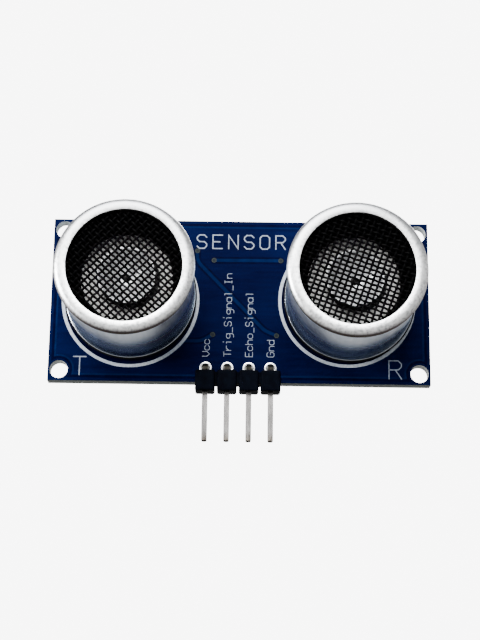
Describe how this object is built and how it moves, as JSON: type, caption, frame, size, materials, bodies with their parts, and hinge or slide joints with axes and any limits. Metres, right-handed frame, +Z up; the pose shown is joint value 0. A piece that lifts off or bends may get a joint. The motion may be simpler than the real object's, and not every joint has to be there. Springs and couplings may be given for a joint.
{
  "type": "ultrasonic distance sensor",
  "caption": "Upright circuit board with two round open-faced ultrasonic transducers on its front, a chip and small parts on its back, and a right-angle pin header below.",
  "frame": {"origin": "middle of the header housing's underside, where a socket's face meets it", "axes": "+Z up along the header pins towards the board, -Y the way the transducers look, +X to the right of a person who faces them"},
  "size_m": [0.045, 0.0155, 0.0273],
  "materials": {
    "board_laminate": "navy solder mask over glass-epoxy laminate, satin",
    "can_aluminium": "satin drawn aluminium",
    "screen_black": "black woven screen",
    "cone_aluminium": "bright spun aluminium",
    "plate_metal": "nickel-plated brass",
    "piezo_ceramic": "silvered ceramic",
    "silicone": "soft grey silicone",
    "base_plastic": "black moulded plastic",
    "wire_insulation": "white insulation",
    "terminal_metal": "tinned",
    "solder": "bright tin solder",
    "header_plastic": "black glass-filled plastic",
    "header_pin_metal": "tin-plated brass",
    "chip_epoxy": "black moulding compound",
    "chip_lead_metal": "matt tin plating",
    "silicon": "silicon",
    "resistor_body": "dark glaze with tinned ends",
    "capacitor_body": "tan ceramic with tinned ends"
  },
  "bodies": {
    "root": {"circuit_board": "board_laminate", "transmitter_can": "can_aluminium", "transmitter_screen": "screen_black", "transmitter_cone": "cone_aluminium", "transmitter_vibrator_plate": "plate_metal", "transmitter_piezo_disc": "piezo_ceramic", "transmitter_damping_pad": "silicone", "transmitter_base": "base_plastic", "transmitter_lead_wire_a": "wire_insulation", "transmitter_lead_wire_b": "wire_insulation", "transmitter_terminal_a": "terminal_metal", "transmitter_terminal_b": "terminal_metal", "transmitter_solder_a": "solder", "transmitter_solder_b": "solder", "receiver_can": "can_aluminium", "receiver_screen": "screen_black", "receiver_cone": "cone_aluminium", "receiver_vibrator_plate": "plate_metal", "receiver_piezo_disc": "piezo_ceramic", "receiver_damping_pad": "silicone", "receiver_base": "base_plastic", "receiver_lead_wire_a": "wire_insulation", "receiver_lead_wire_b": "wire_insulation", "receiver_terminal_a": "terminal_metal", "receiver_terminal_b": "terminal_metal", "receiver_solder_a": "solder", "receiver_solder_b": "solder", "header_housing": "header_plastic", "header_pin_1": "header_pin_metal", "header_solder_1": "solder", "header_pin_2": "header_pin_metal", "header_solder_2": "solder", "header_pin_3": "header_pin_metal", "header_solder_3": "solder", "header_pin_4": "header_pin_metal", "header_solder_4": "solder", "chip_body": "chip_epoxy", "chip_lead_frame": "chip_lead_metal", "chip_die": "silicon", "resistor_r1": "resistor_body", "resistor_r2": "resistor_body", "resistor_r3": "resistor_body", "resistor_r4": "resistor_body", "resistor_r5": "resistor_body", "resistor_r6": "resistor_body", "capacitor_c1": "capacitor_body", "capacitor_c2": "capacitor_body", "capacitor_c3": "capacitor_body"}
  },
  "joints": []
}
